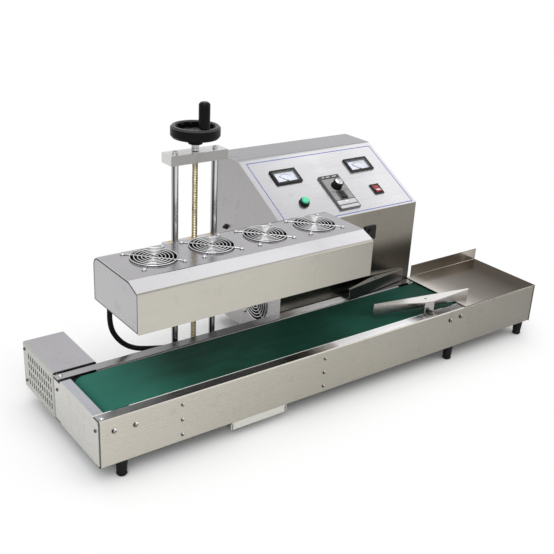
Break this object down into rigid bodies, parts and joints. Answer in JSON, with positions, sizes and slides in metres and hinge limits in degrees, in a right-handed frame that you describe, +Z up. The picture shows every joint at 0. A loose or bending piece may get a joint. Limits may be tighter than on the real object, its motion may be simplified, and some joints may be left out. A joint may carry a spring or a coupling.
{
  "type": "induction cap sealer",
  "caption": "Bench-top induction sealer: a belt conveyor carries capped bottles under a fan-cooled head that a handwheel lifts on a two-rod column, with a sloped-panel cabinet behind.",
  "frame": {"origin": "on the floor under the middle of the object's box, which runs from the conveyor's front rail to the mains inlet at the back", "axes": "+X along the conveyor from the drive end to the infeed table, +Y from the front rail to the cabinet's back, +Z up"},
  "size_m": [1.005, 0.41, 0.5323],
  "materials": {
    "stainless": "fine brushed stainless sheet",
    "belt_green": "dark green belt, slight sheen",
    "turned_steel": "turned steel",
    "cast_grey": "grey casting",
    "rubber_black": "matt black rubber",
    "black_steel": "blackened steel",
    "black_plastic": "black moulding",
    "clear_pane": "clear pane",
    "red_plastic": "red moulding",
    "silver_plastic": "silver grey moulding",
    "green_plastic": "green lens",
    "chrome_wire": "bright plated wire",
    "aluminium_bare": "milled aluminium",
    "board_green": "circuit board with parts",
    "chrome_rod": "ground chrome rod",
    "brass_screw": "bronze and yellow passivated thread",
    "cream_plastic": "cream insulating plate",
    "copper": "flat copper winding",
    "ferrite": "pressed ferrite",
    "cable_black": "black sheathed cable"
  },
  "bodies": {
    "machine": {"front_rail": "stainless", "rear_rail": "stainless", "end_plate": "stainless", "infeed_table": "stainless", "belt_bed": "stainless", "cross_ties": "stainless", "conveyor_belt": "belt_green", "bearing_blocks": "cast_grey", "base_channel": "stainless", "feet": "rubber_black", "motor_cover": "stainless", "gear_motor": "cast_grey", "rear_guide": "stainless", "guide_clamp": "black_steel", "cabinet_cover": "stainless", "cabinet_chassis": "stainless", "meter_cases": "black_plastic", "meter_windows": "clear_pane", "speed_controller": "silver_plastic", "power_switch": "black_plastic", "button_collar": "black_plastic", "cabinet_fan": "black_plastic", "cabinet_fan_guard": "chrome_wire", "fuse_holder": "black_plastic", "mains_inlet": "black_plastic", "cabinet_gland": "black_plastic", "heat_sink": "aluminium_bare", "power_board": "board_green", "sensor_socket": "black_plastic", "column_base": "turned_steel", "guide_rods": "chrome_rod", "column_bar": "aluminium_bare", "head_cable": "cable_black"},
    "head": {"carriage": "aluminium_bare", "carriage_bushes": "brass_screw", "head_cover": "stainless", "head_end_plates": "stainless", "head_base": "cream_plastic", "induction_coil": "copper", "ferrite_bars": "ferrite", "fan_frames": "black_plastic", "fan_guards": "chrome_wire", "head_outlet": "black_plastic"},
    "handwheel": {"handwheel": "black_plastic", "lead_screw": "brass_screw"},
    "grip": {"crank_grip": "black_plastic"},
    "head_fan_1": {"fan_rotor_1": "black_plastic"},
    "head_fan_2": {"fan_rotor_2": "black_plastic"},
    "head_fan_3": {"fan_rotor_3": "black_plastic"},
    "head_fan_4": {"fan_rotor_4": "black_plastic"},
    "cabinet_fan": {"cabinet_fan_rotor": "black_plastic"},
    "drive_roller": {"drive_roller": "turned_steel"},
    "idler_roller": {"idler_roller": "turned_steel"},
    "left_needle": {"left_needle": "red_plastic"},
    "right_needle": {"right_needle": "red_plastic"},
    "speed_knob": {"speed_knob": "black_plastic"},
    "run_rocker": {"run_rocker": "black_plastic"},
    "power_rocker": {"power_rocker": "red_plastic"},
    "start_button": {"start_button": "green_plastic"},
    "front_guide": {"front_guide": "stainless"}
  },
  "joints": [
    {"name": "handwheel_turn", "type": "hinge", "parent": "machine", "child": "handwheel", "pos_m": [-0.221, -0.007, 0.46], "axis": [0, 0, 1], "range_deg": [-9002, 14402]},
    {"name": "head_lift", "type": "slide", "parent": "machine", "child": "head", "axis": [0, 0, 1], "range_m": [-0.075, 0.12], "deforming": ["head_cable"]},
    {"name": "grip_spin", "type": "hinge", "parent": "handwheel", "child": "grip", "pos_m": [-0.22201, -0.03598, 0.51], "axis": [0, 0, 1], "continuous": true},
    {"name": "head_fan_1_spin", "type": "hinge", "parent": "head", "child": "head_fan_1", "pos_m": [-0.35125, -0.099, 0.295], "axis": [0, 0, 1], "continuous": true},
    {"name": "head_fan_2_spin", "type": "hinge", "parent": "head", "child": "head_fan_2", "pos_m": [-0.24375, -0.099, 0.295], "axis": [0, 0, 1], "continuous": true},
    {"name": "head_fan_3_spin", "type": "hinge", "parent": "head", "child": "head_fan_3", "pos_m": [-0.13625, -0.099, 0.295], "axis": [0, 0, 1], "continuous": true},
    {"name": "head_fan_4_spin", "type": "hinge", "parent": "head", "child": "head_fan_4", "pos_m": [-0.02875, -0.099, 0.295], "axis": [0, 0, 1], "continuous": true},
    {"name": "cabinet_fan_spin", "type": "hinge", "parent": "machine", "child": "cabinet_fan", "pos_m": [-0.044, 0.046, 0.105], "axis": [1, 0, 0], "continuous": true},
    {"name": "drive_roller_spin", "type": "hinge", "parent": "machine", "child": "drive_roller", "pos_m": [-0.4605, -0.121, 0.0917], "axis": [0, 1, 0], "continuous": true},
    {"name": "idler_roller_spin", "type": "hinge", "parent": "machine", "child": "idler_roller", "pos_m": [0.2845, -0.121, 0.0917], "axis": [0, 1, 0], "continuous": true},
    {"name": "left_needle_swing", "type": "hinge", "parent": "machine", "child": "left_needle", "pos_m": [0.031, 0.06018, 0.33898], "axis": [0, -0.4894, 0.8721], "range_deg": [-90, 0]},
    {"name": "right_needle_swing", "type": "hinge", "parent": "machine", "child": "right_needle", "pos_m": [0.217, 0.06018, 0.33898], "axis": [0, -0.4894, 0.8721], "range_deg": [-90, 0]},
    {"name": "speed_knob_turn", "type": "hinge", "parent": "machine", "child": "speed_knob", "pos_m": [0.124, 0.02661, 0.32014], "axis": [0, -0.4894, 0.8721], "range_deg": [-135, 135]},
    {"name": "run_rocker_tip", "type": "hinge", "parent": "machine", "child": "run_rocker", "pos_m": [0.124, 0.00421, 0.31101], "axis": [1, 0, 0], "range_deg": [0, 18]},
    {"name": "power_rocker_tip", "type": "hinge", "parent": "machine", "child": "power_rocker", "pos_m": [0.217, 0.00699, 0.30912], "axis": [1, 0, 0], "range_deg": [0, 18]},
    {"name": "start_button_press", "type": "slide", "parent": "machine", "child": "start_button", "axis": [0, 0.4894, -0.8721], "range_m": [0, 0.003], "stiffness_N_per_m": 400, "springref_m": -0.001},
    {"name": "front_guide_shift", "type": "slide", "parent": "machine", "child": "front_guide", "axis": [-0.1805, -0.9836, 0], "range_m": [-0.004, 0]}
  ],
  "couplings": [
    {"joint": "handwheel_turn", "follows": "head_lift", "rad_per_m": 2094.4},
    {"joint": "idler_roller_spin", "follows": "drive_roller_spin", "ratio": 1}
  ]
}
